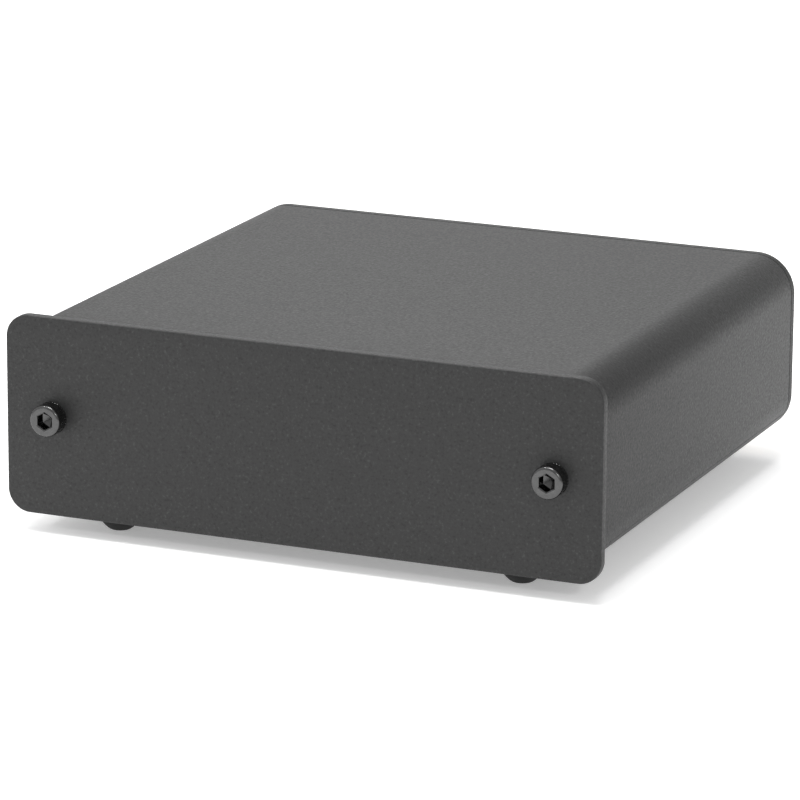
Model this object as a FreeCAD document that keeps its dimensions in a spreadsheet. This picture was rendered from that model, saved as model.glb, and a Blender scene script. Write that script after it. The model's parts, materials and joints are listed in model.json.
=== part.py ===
import FreeCAD, Part
import math
import os
import Sketcher

# A small phono preamplifier: an aluminium sleeve closed by two screwed end panels, on four rubber feet.
# A circuit board lies in guides inside, and its sockets and ground terminal come out through the rear.
# X runs to the right as seen from the front, Y to the rear and Z up, in millimetres. The origin is on
# the surface that the feet stand on, at the middle of the overall width and depth.

vector = FreeCAD.Vector
document = FreeCAD.newDocument("PhonoPreamp")

sizes = {
    # Front panel, which stands past the sleeve all round
    "panel_width": 107,
    "panel_height": 34.3,
    "panel_thickness": 2,
    "panel_corner": 4,
    "panel_edge_break": 0.3,
    "panel_side_overhang": 1.2,
    "panel_top_overhang": 0.9,
    "panel_bottom_overhang": 1.1,
    # Sleeve, an extrusion with two screw channels and four guide ribs
    "sleeve_length": 94.5,
    "sleeve_wall": 1.5,
    "sleeve_corner": 7,
    "channel_inset": 7.3,
    "channel_diameter": 6,
    "channel_web": 3,
    "channel_slot": 1.6,
    "rib_depth": 3.4,
    "rib_thickness": 1.2,
    # Rear panel
    "rear_thickness": 1.5,
    # Screws of both panels
    "thread_diameter": 3,
    "thread_gap": 0.05,
    "screw_hole_gap": 0.15,
    "screw_length": 10,
    "screw_end_break": 0.4,
    "cap_diameter": 5.5,
    "cap_height": 3,
    "cap_edge_break": 0.3,
    "cap_key": 2.5,
    "cap_key_depth": 1.6,
    "pan_diameter": 5.6,
    "pan_height": 2.1,
    "pan_crown": 1,
    "cross_width": 0.8,
    "cross_length": 3,
    "cross_depth": 1.1,
    # Rubber feet
    "foot_height": 4.5,
    "foot_diameter": 8.4,
    "foot_contact": 4.6,
    "foot_waist": 7,
    "foot_round": 1,
    "foot_inset_side": 15.7,
    "foot_inset_end": 6.5,
    # Circuit board
    "board_thickness": 1.6,
    "board_lift": 3.4,
    "board_side_gap": 1,
    "board_front_gap": 2,
    "board_rear_gap": 0.2,
    "guide_gap": 0.2,
    # Phono sockets
    "seat_gap": 0.05,
    "socket_spacing": 14,
    # The inputs from halfway between ground terminal and screw, the outputs from the middle
    "input_offset": 0.5,
    "output_offset": -11,
    "socket_reach": 9.5,
    "shell_diameter": 8.3,
    "shell_root_diameter": 7.8,
    "shell_wall": 0.65,
    "shell_seat": 1.5,
    "shell_hole_gap": 0.35,
    "contact_diameter": 4.3,
    "contact_bore": 3.2,
    "contact_depth": 9,
    "contact_recess": 1,
    "tail_width": 0.8,
    "tail_thickness": 1,
    "block_width": 10,
    "block_depth": 10,
    # Ground terminal
    "ground_offset": 8,
    "stud_diameter": 4,
    "stud_reach": 9.2,
    "stud_hole_gap": 0.15,
    "stud_end_break": 0.5,
    "nut_key": 7,
    "stud_head_height": 2.8,
    "lock_nut_height": 2.4,
    "tag_thickness": 0.5,
    "tag_diameter": 8,
    "tag_leg_width": 2,
    "washer_diameter": 9,
    "washer_thickness": 0.8,
    "washer_bore_gap": 0.15,
    "face_gap": 0.1,
    "thumb_diameter": 9,
    "thumb_height": 3.4,
    "thumb_collar_diameter": 7,
    "thumb_collar_height": 0.8,
    "thumb_bore_gap": 0.05,
    "knurl_count": 24,
    "knurl_depth": 0.3,
    "knurl_width": 0.6,
    # Power inlet
    # The inlet from the nearer screw
    "inlet_offset": 11,
    "inlet_axis_height": 6.5,
    "inlet_width": 9,
    "inlet_top": 4.6,
    "inlet_depth": 13,
    "inlet_collar": 7.8,
    "inlet_hole_gap": 0.2,
    "inlet_bore": 6.4,
    "inlet_bore_depth": 9.5,
    "inlet_pin": 2.1,
    "inlet_pin_recess": 1,
    "inlet_pin_round": 0.5,
    "leaf_width": 3,
    "leaf_thickness": 0.3,
    "leaf_length": 11,
    "leaf_setback": 2.2,
    # Parts on the board, in rows set out from its rear edge
    # The left channel from the middle of the input pair
    "channel_offset": 7,
    "film_row": 20,
    "film_width": 10,
    "film_length": 5,
    "film_height": 9,
    "chip_row": 36,
    "chip_width": 6.4,
    "chip_length": 9.8,
    "chip_height": 3.3,
    "chip_standoff": 0.6,
    "pin_pitch": 2.54,
    "pin_width": 0.5,
    "pin_thickness": 0.3,
    "resistor_row": 48,
    "resistor_pitch": 5,
    "resistor_spacing": 6,
    "resistor_length": 3.2,
    "resistor_width": 1.6,
    "resistor_height": 0.6,
    "cap_metal": 0.5,
    "cap_rim": 0.1,
    "electrolytic_row": 62,
    "electrolytic_spacing": 11,
    "electrolytic_diameter": 8,
    "electrolytic_height": 11.5,
    "header_row": 75,
    "header_height": 2.5,
    "header_pins": 6,
    "header_pin_rise": 6,
    "jumper_height": 6,
    "jumper_clearance": 0.1,
    "supply_offset": 4,
    "regulator_row": 26,
    "regulator_spacing": 7,
    "regulator_width": 10,
    "regulator_body_height": 9,
    "regulator_body_thickness": 3.2,
    "regulator_tab_height": 15.5,
    "regulator_tab_thickness": 1.3,
    "regulator_lift": 3.5,
    "reservoir_row": 58,
    "reservoir_spacing": 13,
    "reservoir_diameter": 10,
    "reservoir_height": 15,
    "diode_row": 74,
    "diode_length": 5,
    "diode_width": 2.7,
    "diode_height": 2.2,
}

# Sizes and places that follow from the sizes above
places = {
    "sleeve_width": "=Sizes.panel_width - 2 * Sizes.panel_side_overhang",
    "sleeve_height": "=Sizes.panel_height - Sizes.panel_top_overhang - Sizes.panel_bottom_overhang",
    "inner_width": "=sleeve_width - 2 * Sizes.sleeve_wall",
    "overall_depth": "=Sizes.cap_height + Sizes.panel_thickness + Sizes.sleeve_length"
    " + Sizes.rear_thickness + Sizes.socket_reach",
    "panel_front": "=Sizes.cap_height - overall_depth / 2",
    "sleeve_front": "=panel_front + Sizes.panel_thickness",
    "sleeve_back": "=sleeve_front + Sizes.sleeve_length",
    "rear_face": "=sleeve_back + Sizes.rear_thickness",
    "panel_bottom": "=Sizes.foot_height - Sizes.panel_bottom_overhang",
    "panel_middle": "=panel_bottom + Sizes.panel_height / 2",
    "sleeve_middle": "=Sizes.foot_height + sleeve_height / 2",
    "screw_across": "=sleeve_width / 2 - Sizes.channel_inset",
    "channel_bore": "=Sizes.thread_diameter",
    "screw_shank": "=Sizes.thread_diameter - 2 * Sizes.thread_gap",
    "screw_hole": "=Sizes.thread_diameter + 2 * Sizes.screw_hole_gap",
    "foot_across": "=sleeve_width / 2 - Sizes.foot_inset_side",
    "foot_front": "=sleeve_front + Sizes.foot_inset_end",
    "foot_rear": "=sleeve_back - Sizes.foot_inset_end",
    "board_bottom": "=Sizes.foot_height + Sizes.sleeve_wall + Sizes.board_lift",
    "board_top": "=board_bottom + Sizes.board_thickness",
    "board_width": "=inner_width - 2 * Sizes.board_side_gap",
    "board_length": "=Sizes.sleeve_length - Sizes.board_front_gap - Sizes.board_rear_gap",
    "board_back": "=sleeve_back - Sizes.board_rear_gap",
    "row_height": "=panel_middle",
    "input_across": "=(screw_across + Sizes.ground_offset) / 2 + Sizes.input_offset",
    "inlet_across": "=Sizes.inlet_offset - screw_across",
    "supply_across": "=Sizes.supply_offset + Sizes.reservoir_diameter - screw_across",
    "row_lift": "=row_height - board_top",
    "shell_hole": "=Sizes.shell_diameter + 2 * Sizes.shell_hole_gap",
    "shell_bore": "=Sizes.shell_diameter - 2 * Sizes.shell_wall",
    "contact_length": "=Sizes.block_depth + Sizes.rear_thickness + Sizes.socket_reach"
    " - Sizes.contact_recess",
    "stud_hole": "=Sizes.stud_diameter + 2 * Sizes.stud_hole_gap",
    "washer_front": "=rear_face + Sizes.lock_nut_height + Sizes.face_gap",
    "thumb_front": "=washer_front + Sizes.washer_thickness + Sizes.face_gap",
    "inlet_height": "=board_top + Sizes.inlet_axis_height",
    "inlet_hole": "=Sizes.inlet_collar + 2 * Sizes.inlet_hole_gap",
    "leaf_height": "=Sizes.inlet_bore / 2",
}


# Sheets of named values

def fill_sheet(name, cells):
    sheet = document.addObject("Spreadsheet::Sheet", name)
    for row, (alias, content) in enumerate(cells.items(), 1):
        sheet.set(f"A{row}", alias)
        sheet.set(f"B{row}", str(content))
        sheet.setAlias(f"B{row}", alias)
    return sheet


fill_sheet("Sizes", sizes)
fill_sheet("Places", places)
document.recompute()


# Ways to set out and shape a piece

facing_up = FreeCAD.Rotation()
facing_front = FreeCAD.Rotation(vector(1, 0, 0), 90)
facing_rear = FreeCAD.Rotation(vector(0, 0, 1), 180).multiply(facing_front)
tiny = 1e-4
finished = []


def half(expression):
    return f"({expression}) / 2"


def place(item, across, along, up, rotation=facing_up):
    item.Placement = FreeCAD.Placement(vector(), rotation)
    for axis, expression in zip("xyz", (across, along, up)):
        item.setExpression(f"Placement.Base.{axis}", expression)


def start_body(label, across, along, up, rotation=facing_up):
    body = document.addObject("PartDesign::Body", label)
    body.Label = label
    place(body, across, along, up, rotation)
    finished.append(body)
    return body


def start_sketch(body, name, role="XY_Plane", level="0"):
    plane = next(item for item in body.Origin.OriginFeatures if item.Role == role)
    sketch = body.newObject("Sketcher::SketchObject", name)
    sketch.AttachmentSupport = (plane, [""])
    sketch.MapMode = "FlatFace"
    sketch.setExpression("AttachmentOffset.Base.z", level)
    return sketch


def bind(sketch, constraint, expression):
    index = sketch.addConstraint(constraint)
    sketch.setExpression(f"Constraints[{index}]", expression)


def fix_point(sketch, geometry, point, across, up):
    bind(sketch, Sketcher.Constraint("DistanceX", -1, 1, geometry, point, 1.0), across)
    bind(sketch, Sketcher.Constraint("DistanceY", -1, 1, geometry, point, 1.0), up)


def draw_outline(sketch, points):
    # A closed loop of straight lines through points that are given as pairs of expressions
    turn = 2 * math.pi / len(points)
    corners = [vector(math.cos(turn * step), math.sin(turn * step)) for step in range(len(points))]
    lines = []
    for first, second in zip(corners, corners[1:] + corners[:1]):
        lines.append(sketch.addGeometry(Part.LineSegment(first, second)))
    for line, following in zip(lines, lines[1:] + lines[:1]):
        sketch.addConstraint(Sketcher.Constraint("Coincident", line, 2, following, 1))
    for line, (across, up) in zip(lines, points):
        fix_point(sketch, line, 1, across, up)


def draw_rectangle(sketch, left, right, bottom, top):
    draw_outline(sketch, [(left, bottom), (right, bottom), (right, top), (left, top)])


def draw_centred_rectangle(sketch, width, height):
    draw_rectangle(sketch, f"-{half(width)}", half(width), f"-{half(height)}", half(height))


def draw_circle(sketch, across, up, diameter):
    circle = sketch.addGeometry(Part.Circle(vector(0, 0, 0), vector(0, 0, 1), 1.0))
    bind(sketch, Sketcher.Constraint("Diameter", circle, 2.0), diameter)
    fix_point(sketch, circle, 3, across, up)


def draw_hexagon(sketch, across_flats):
    reach = f"{across_flats} / sqrt(3)"
    corners = [(f"{reach} * cos({60 * step})", f"{reach} * sin({60 * step})") for step in range(6)]
    draw_outline(sketch, corners)


def pad(body, name, sketch, length):
    feature = body.newObject("PartDesign::Pad", name)
    feature.Profile = sketch
    feature.setExpression("Length", length)
    document.recompute()
    return feature


def pocket(body, name, sketch, depth):
    before = body.Shape.Volume
    feature = body.newObject("PartDesign::Pocket", name)
    feature.Profile = sketch
    feature.setExpression("Length", depth)
    document.recompute()
    if body.Shape.Volume > before - tiny:
        raise ValueError(f"{body.Label}: {name} cuts nothing")
    return feature


def turn(body, name, points):
    # A full turn about the body's own Z axis, of a profile given as pairs of radius and height
    sketch = start_sketch(body, f"{name}_profile", "XZ_Plane")
    draw_outline(sketch, points)
    feature = body.newObject("PartDesign::Revolution", name)
    feature.Profile = sketch
    feature.ReferenceAxis = (sketch, ["V_Axis"])
    feature.Angle = 360
    document.recompute()
    return feature


def ring(inner, outer, low, high):
    return [(inner, low), (outer, low), (outer, high), (inner, high)]


def ease_edges(body, kind, name, base, wanted, size):
    # Rounds or breaks the edges of a feature that a test picks out
    names = [f"Edge{number}" for number, edge in enumerate(base.Shape.Edges, 1) if wanted(edge)]
    feature = body.newObject(f"PartDesign::{kind}", name)
    feature.Base = (base, names)
    feature.setExpression("Radius" if kind == "Fillet" else "Size", size)
    document.recompute()
    return feature


def runs_lengthwise(edge):
    box = edge.BoundBox
    return box.ZLength > tiny and box.XLength < tiny and box.YLength < tiny


def runs_at_corner(edge, feature):
    # Whether a lengthwise edge is as far from the feature's middle as the feature reaches
    return runs_lengthwise(edge) and abs(edge.BoundBox.XMax) > feature.Shape.BoundBox.XMax - tiny


def lies_level(edge, height):
    return edge.BoundBox.ZLength < tiny and abs(edge.BoundBox.ZMax - height) < tiny


# Front panel and rear panel

def make_front_panel():
    body = start_body("front_panel", "0", "Places.sleeve_front", "Places.panel_middle", facing_front)
    sketch = start_sketch(body, "panel_outline")
    draw_centred_rectangle(sketch, "Sizes.panel_width", "Sizes.panel_height")
    for side in ("", "-"):
        draw_circle(sketch, f"{side}Places.screw_across", "0", "Places.screw_hole")
    plate = pad(body, "panel_plate", sketch, "Sizes.panel_thickness")
    corners = ease_edges(
        body, "Fillet", "panel_corners", plate,
        lambda edge: runs_at_corner(edge, plate),
        "Sizes.panel_corner",
    )
    front = corners.Shape.BoundBox.ZMax
    ease_edges(
        body, "Chamfer", "panel_rim", corners,
        lambda edge: lies_level(edge, front) and not edge.isClosed(),
        "Sizes.panel_edge_break",
    )


def make_rear_panel():
    body = start_body("rear_panel", "0", "Places.rear_face", "Places.sleeve_middle", facing_front)
    sketch = start_sketch(body, "rear_outline")
    draw_centred_rectangle(sketch, "Places.sleeve_width", "Places.sleeve_height")
    screw_level = "Places.panel_middle - Places.sleeve_middle"
    row_level = "Places.row_height - Places.sleeve_middle"
    for side in ("", "-"):
        draw_circle(sketch, f"{side}Places.screw_across", screw_level, "Places.screw_hole")
    for offset in socket_offsets.values():
        draw_circle(sketch, offset, row_level, "Places.shell_hole")
    draw_circle(sketch, "Sizes.ground_offset", row_level, "Places.stud_hole")
    inlet_level = "Places.inlet_height - Places.sleeve_middle"
    draw_circle(sketch, "Places.inlet_across", inlet_level, "Places.inlet_hole")
    plate = pad(body, "rear_plate", sketch, "Sizes.rear_thickness")
    ease_edges(
        body, "Fillet", "rear_corners", plate,
        lambda edge: runs_at_corner(edge, plate),
        "Sizes.sleeve_corner",
    )


# Sleeve

def make_sleeve():
    body = start_body("housing_sleeve", "0", "Places.sleeve_back", "Places.sleeve_middle", facing_front)
    outline = start_sketch(body, "sleeve_outline")
    draw_centred_rectangle(outline, "Places.sleeve_width", "Places.sleeve_height")
    pad(body, "sleeve_bar", outline, "Sizes.sleeve_length")
    hollow = start_sketch(body, "hollow_outline", level="Sizes.sleeve_length")
    draw_centred_rectangle(hollow, "Places.inner_width", "Places.sleeve_height - 2 * Sizes.sleeve_wall")
    hollowed = pocket(body, "sleeve_hollow", hollow, "Sizes.sleeve_length")
    rounded = ease_edges(
        body, "Fillet", "inner_corners", hollowed,
        lambda edge: runs_lengthwise(edge) and not runs_at_corner(edge, hollowed),
        "Sizes.sleeve_corner - Sizes.sleeve_wall",
    )
    ease_edges(
        body, "Fillet", "outer_corners", rounded,
        lambda edge: runs_at_corner(edge, hollowed),
        "Sizes.sleeve_corner",
    )
    make_guide_ribs(body)
    make_screw_channels(body)


def make_guide_ribs(body):
    ribs = start_sketch(body, "rib_outlines")
    wall = "(Places.inner_width / 2 + Sizes.sleeve_wall / 2)"
    inner = "(Places.inner_width / 2 - Sizes.rib_depth)"
    under = "Places.board_bottom - Places.sleeve_middle"
    above = "Places.board_top + Sizes.guide_gap - Places.sleeve_middle"
    for left, right in ((f"-{wall}", f"-{inner}"), (inner, wall)):
        draw_rectangle(ribs, left, right, f"{under} - Sizes.rib_thickness", under)
        draw_rectangle(ribs, left, right, above, f"{above} + Sizes.rib_thickness")
    pad(body, "guide_ribs", ribs, "Sizes.sleeve_length")


def make_screw_channels(body):
    level = "Places.panel_middle - Places.sleeve_middle"
    wall = "(Places.inner_width / 2 + Sizes.sleeve_wall / 2)"
    webs = start_sketch(body, "web_outlines")
    for left, right in ((f"-{wall}", "-Places.screw_across"), ("Places.screw_across", wall)):
        draw_rectangle(
            webs, left, right, f"{level} - Sizes.channel_web / 2", f"{level} + Sizes.channel_web / 2",
        )
    pad(body, "channel_webs", webs, "Sizes.sleeve_length")
    tubes = start_sketch(body, "channel_outlines")
    bores = start_sketch(body, "channel_bores", level="Sizes.sleeve_length")
    slots = start_sketch(body, "channel_slots", level="Sizes.sleeve_length")
    mouth = "(Places.screw_across - Sizes.channel_diameter)"
    for side in ("", "-"):
        draw_circle(tubes, f"{side}Places.screw_across", level, "Sizes.channel_diameter")
        draw_circle(bores, f"{side}Places.screw_across", level, "Places.channel_bore")
    for left, right in (("-Places.screw_across", f"-{mouth}"), (mouth, "Places.screw_across")):
        draw_rectangle(
            slots, left, right, f"{level} - Sizes.channel_slot / 2", f"{level} + Sizes.channel_slot / 2",
        )
    pad(body, "channel_tubes", tubes, "Sizes.sleeve_length")
    pocket(body, "channel_bored", bores, "Sizes.sleeve_length")
    pocket(body, "channel_slotted", slots, "Sizes.sleeve_length")


# Screws

def shank_points(shank, seat_to_end):
    return [
        ("0", f"-{seat_to_end}"),
        (f"{half(shank)} - Sizes.screw_end_break", f"-{seat_to_end}"),
        (half(shank), f"Sizes.screw_end_break - {seat_to_end}"),
        (half(shank), "0"),
    ]


def make_cap_screw(label, across):
    body = start_body(label, across, "Places.panel_front", "Places.panel_middle", facing_front)
    head = [
        ("Sizes.cap_diameter / 2", "0"),
        ("Sizes.cap_diameter / 2", "Sizes.cap_height - Sizes.cap_edge_break"),
        ("Sizes.cap_diameter / 2 - Sizes.cap_edge_break", "Sizes.cap_height"),
        ("0", "Sizes.cap_height"),
    ]
    turn(body, f"{label}_turned", shank_points("Places.screw_shank", "Sizes.screw_length") + head)
    key = start_sketch(body, f"{label}_key", level="Sizes.cap_height")
    draw_hexagon(key, "Sizes.cap_key")
    pocket(body, f"{label}_key_socket", key, "Sizes.cap_key_depth")


def make_pan_screw(label, across):
    body = start_body(label, across, "Places.rear_face", "Places.panel_middle", facing_rear)
    head = [
        ("Sizes.pan_diameter / 2", "0"),
        ("Sizes.pan_diameter / 2", "Sizes.pan_height - Sizes.pan_crown"),
        ("Sizes.pan_diameter / 2 - Sizes.pan_crown", "Sizes.pan_height"),
        ("0", "Sizes.pan_height"),
    ]
    turn(body, f"{label}_turned", shank_points("Places.screw_shank", "Sizes.screw_length") + head)
    for name, width, height in (
        ("bar", "Sizes.cross_length", "Sizes.cross_width"),
        ("post", "Sizes.cross_width", "Sizes.cross_length"),
    ):
        slot = start_sketch(body, f"{label}_{name}", level="Sizes.pan_height")
        draw_centred_rectangle(slot, width, height)
        pocket(body, f"{label}_{name}_cut", slot, "Sizes.cross_depth")


# Rubber feet

def make_foot(label, across, along):
    body = start_body(label, across, along, "0")
    points = [
        ("0", "0"),
        ("Sizes.foot_contact / 2", "0"),
        ("Sizes.foot_waist / 2", "Sizes.foot_round"),
        ("Sizes.foot_diameter / 2", "Sizes.foot_height"),
        ("0", "Sizes.foot_height"),
    ]
    turn(body, f"{label}_turned", points)


# Circuit board

def make_board():
    middle = "Places.board_back - Places.board_length / 2"
    body = start_body("circuit_board", "0", middle, "Places.board_bottom")
    sketch = start_sketch(body, "board_outline")
    draw_centred_rectangle(sketch, "Places.board_width", "Places.board_length")
    pad(body, "board_plate", sketch, "Sizes.board_thickness")


# Phono sockets, each a shell, an insulator and a contact in a block on the board

socket_offsets = {
    "input_left": "(Places.input_across + Sizes.socket_spacing / 2)",
    "input_right": "(Places.input_across - Sizes.socket_spacing / 2)",
    "output_left": "(Sizes.output_offset + Sizes.socket_spacing / 2)",
    "output_right": "(Sizes.output_offset - Sizes.socket_spacing / 2)",
}


def make_socket(name, across):
    make_socket_block(f"{name}_block", across)
    make_socket_contact(f"{name}_contact", across)
    seat = "Places.sleeve_back - Sizes.shell_seat"
    reach = "(Sizes.shell_seat + Sizes.rear_thickness + Sizes.socket_reach)"
    shell = start_body(f"{name}_shell", across, seat, "Places.row_height", facing_rear)
    outer = "Sizes.shell_diameter / 2"
    root = "Sizes.shell_root_diameter / 2"
    rear = "Sizes.shell_seat + Sizes.rear_thickness"
    barrel = [
        ("Places.shell_bore / 2", "0"),
        (root, "0"),
        (root, rear),
        (outer, rear),
        (outer, reach),
        ("Places.shell_bore / 2", reach),
    ]
    turn(shell, f"{name}_shell_turned", barrel)
    insulator = start_body(f"{name}_insulator", across, seat, "Places.row_height", facing_rear)
    inner = "Sizes.contact_diameter / 2 + Sizes.seat_gap"
    turn(
        insulator, f"{name}_insulator_turned",
        ring(inner, "Places.shell_bore / 2 - Sizes.seat_gap", "0", f"{reach} - Sizes.contact_recess"),
    )


def make_socket_block(label, across):
    front = "Places.sleeve_back - Sizes.block_depth"
    body = start_body(label, across, front, "Places.row_height", facing_rear)
    sketch = start_sketch(body, f"{label}_outline")
    edge = "Sizes.block_width / 2"
    draw_rectangle(sketch, f"-{edge}", edge, "-Places.row_lift", edge)
    draw_circle(sketch, "0", "0", "Sizes.contact_diameter + 2 * Sizes.seat_gap")
    pad(body, f"{label}_moulding", sketch, "Sizes.block_depth")
    seat = start_sketch(body, f"{label}_seat", level="Sizes.block_depth")
    draw_circle(seat, "0", "0", "Sizes.shell_root_diameter + 2 * Sizes.seat_gap")
    pocket(body, f"{label}_seated", seat, "Sizes.shell_seat")


def make_socket_contact(label, across):
    front = "Places.sleeve_back - Sizes.block_depth"
    body = start_body(label, across, front, "Places.row_height", facing_rear)
    floor = "Places.contact_length - Sizes.contact_depth"
    points = [
        ("0", "-Sizes.tail_thickness"),
        ("Sizes.contact_diameter / 2", "-Sizes.tail_thickness"),
        ("Sizes.contact_diameter / 2", "Places.contact_length"),
        ("Sizes.contact_bore / 2", "Places.contact_length"),
        ("Sizes.contact_bore / 2", floor),
        ("0", floor),
    ]
    turn(body, f"{label}_turned", points)
    tail = start_sketch(body, f"{label}_tail", level="-Sizes.tail_thickness")
    draw_rectangle(tail, "-Sizes.tail_width / 2", "Sizes.tail_width / 2", "-Places.row_lift", "0")
    pad(body, f"{label}_tail_bar", tail, "Sizes.tail_thickness")


# Ground terminal: a stud through the rear panel, its tag and lock nut, then a washer and a thumb nut

def start_ground_piece(label, along, rotation=facing_rear):
    return start_body(label, "Sizes.ground_offset", along, "Places.row_height", rotation)


def make_ground_post():
    tag_front = "Places.sleeve_back - Sizes.tag_thickness"
    body = start_ground_piece("ground_post", tag_front)
    head = start_sketch(body, "post_head_outline", level="-Sizes.stud_head_height")
    draw_hexagon(head, "Sizes.nut_key")
    pad(body, "post_head", head, "Sizes.stud_head_height")
    stud = start_sketch(body, "post_stud_outline", level="-Sizes.stud_head_height / 2")
    draw_circle(stud, "0", "0", "Sizes.stud_diameter")
    through = "Sizes.stud_head_height / 2 + Sizes.tag_thickness + Sizes.rear_thickness + Sizes.stud_reach"
    shank = pad(body, "post_stud", stud, through)
    end = shank.Shape.BoundBox.ZMax
    ease_edges(body, "Chamfer", "post_end", shank, lambda edge: lies_level(edge, end), "Sizes.stud_end_break")


def make_ground_tag():
    body = start_ground_piece("ground_tag", "Places.sleeve_back", facing_front)
    leg = start_sketch(body, "tag_leg_outline")
    draw_rectangle(leg, "-Sizes.tag_leg_width / 2", "Sizes.tag_leg_width / 2", "-Places.row_lift", "0")
    pad(body, "tag_leg", leg, "Sizes.tag_thickness")
    eye = start_sketch(body, "tag_eye_outline")
    draw_circle(eye, "0", "0", "Sizes.tag_diameter")
    pad(body, "tag_eye", eye, "Sizes.tag_thickness")
    hole = start_sketch(body, "tag_hole_outline", level="Sizes.tag_thickness")
    draw_circle(hole, "0", "0", "Places.stud_hole")
    pocket(body, "tag_hole", hole, "Sizes.tag_thickness")


def make_ground_lock_nut():
    body = start_ground_piece("ground_lock_nut", "Places.rear_face")
    sketch = start_sketch(body, "lock_nut_outline")
    draw_hexagon(sketch, "Sizes.nut_key")
    draw_circle(sketch, "0", "0", "Sizes.stud_diameter + 2 * Sizes.seat_gap")
    pad(body, "lock_nut", sketch, "Sizes.lock_nut_height")


def make_ground_washer():
    body = start_ground_piece("ground_washer", "Places.washer_front")
    bore = "Sizes.stud_diameter / 2 + Sizes.washer_bore_gap"
    turn(body, "washer_turned", ring(bore, "Sizes.washer_diameter / 2", "0", "Sizes.washer_thickness"))


def make_ground_thumb_nut():
    body = start_ground_piece("ground_thumb_nut", "Places.thumb_front")
    bore = "Sizes.stud_diameter / 2 + Sizes.thumb_bore_gap"
    collar = "Sizes.thumb_collar_diameter / 2"
    rim = "Sizes.thumb_diameter / 2"
    points = [
        (bore, "0"),
        (collar, "0"),
        (collar, "Sizes.thumb_collar_height"),
        (rim, "Sizes.thumb_collar_height"),
        (rim, "Sizes.thumb_height"),
        (bore, "Sizes.thumb_height"),
    ]
    turn(body, "thumb_nut_turned", points)
    notch = start_sketch(body, "knurl_notch", level="Sizes.thumb_height")
    root = f"{rim} - Sizes.knurl_depth"
    outside = f"{rim} + Sizes.knurl_depth"
    draw_outline(notch, [(root, "0"), (outside, "-Sizes.knurl_width"), (outside, "Sizes.knurl_width")])
    groove = pocket(body, "knurl_groove", notch, "Sizes.thumb_height")
    knurl = body.newObject("PartDesign::PolarPattern", "knurl")
    knurl.Originals = [groove]
    knurl.Axis = (notch, ["N_Axis"])
    knurl.Angle = 360
    knurl.setExpression("Occurrences", "Sizes.knurl_count")
    body.Tip = knurl
    document.recompute()


# Power inlet: a moulded body with a bore, a centre pin and a spring leaf

def make_inlet_body():
    front = "Places.sleeve_back - Sizes.inlet_depth"
    body = start_body("power_inlet_body", "Places.inlet_across", front, "Places.inlet_height", facing_rear)
    block = start_sketch(body, "inlet_outline")
    edge = "Sizes.inlet_width / 2"
    draw_rectangle(block, f"-{edge}", edge, "-Sizes.inlet_axis_height", "Sizes.inlet_top")
    pad(body, "inlet_block", block, "Sizes.inlet_depth")
    collar = start_sketch(body, "inlet_collar_outline", level="Sizes.inlet_depth / 2")
    draw_circle(collar, "0", "0", "Sizes.inlet_collar")
    pad(body, "inlet_collar_ring", collar, "Sizes.inlet_depth / 2 + Sizes.rear_thickness")
    mouth = "Sizes.inlet_depth + Sizes.rear_thickness"
    bore = start_sketch(body, "inlet_bore_outline", level=mouth)
    draw_circle(bore, "0", "0", "Sizes.inlet_bore")
    pocket(body, "inlet_bored", bore, "Sizes.inlet_bore_depth")
    pin_hole = start_sketch(body, "inlet_pin_hole", level=mouth)
    draw_circle(pin_hole, "0", "0", "Sizes.inlet_pin + 2 * Sizes.seat_gap")
    pocket(body, "inlet_pin_bored", pin_hole, mouth)
    slot = start_sketch(body, "inlet_leaf_slot", level="Sizes.inlet_depth")
    side = "Sizes.leaf_width / 2 + Sizes.seat_gap"
    top = "Places.leaf_height + Sizes.leaf_thickness + Sizes.seat_gap"
    draw_rectangle(slot, f"-({side})", side, "Places.leaf_height - Sizes.inlet_bore / 4", top)
    pocket(body, "inlet_slotted", slot, "Sizes.inlet_depth")


def make_inlet_pin():
    front = "Places.sleeve_back - Sizes.inlet_depth"
    body = start_body("power_inlet_pin", "Places.inlet_across", front, "Places.inlet_height", facing_rear)
    radius = "Sizes.inlet_pin / 2"
    end = "(Sizes.inlet_depth + Sizes.rear_thickness - Sizes.inlet_pin_recess)"
    points = [
        ("0", "-Sizes.tail_thickness"),
        (radius, "-Sizes.tail_thickness"),
        (radius, f"{end} - Sizes.inlet_pin_round"),
        (f"{radius} - Sizes.inlet_pin_round", end),
        ("0", end),
    ]
    turn(body, "inlet_pin_turned", points)
    tail = start_sketch(body, "inlet_pin_tail_outline", level="-Sizes.tail_thickness")
    draw_rectangle(tail, "-Sizes.tail_width / 2", "Sizes.tail_width / 2", "-Sizes.inlet_axis_height", "0")
    pad(body, "inlet_pin_tail", tail, "Sizes.tail_thickness")


def make_inlet_leaf():
    front = "Places.sleeve_back - Sizes.inlet_depth"
    body = start_body("power_inlet_leaf", "Places.inlet_across", front, "Places.inlet_height", facing_rear)
    side = "Sizes.leaf_width / 2"
    top = "Places.leaf_height + Sizes.leaf_thickness"
    strip = start_sketch(body, "leaf_outline", level="-Sizes.leaf_setback")
    draw_rectangle(strip, f"-{side}", side, "Places.leaf_height", top)
    pad(body, "leaf_strip", strip, "Sizes.leaf_length")
    leg = start_sketch(body, "leaf_leg_outline", level="-Sizes.leaf_setback")
    draw_rectangle(leg, f"-{side}", side, "-Sizes.inlet_axis_height", top)
    pad(body, "leaf_leg", leg, "Sizes.leaf_thickness")


# Parts on the board, each kind a group of separate solids

def add_box(name, width, length, height, across, along, up):
    # A box centred over a point, with its underside at a height
    item = document.addObject("Part::Box", name)
    item.setExpression("Length", width)
    item.setExpression("Width", length)
    item.setExpression("Height", height)
    place(item, f"{across} - {half(width)}", f"{along} - {half(length)}", up)
    return item


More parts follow.
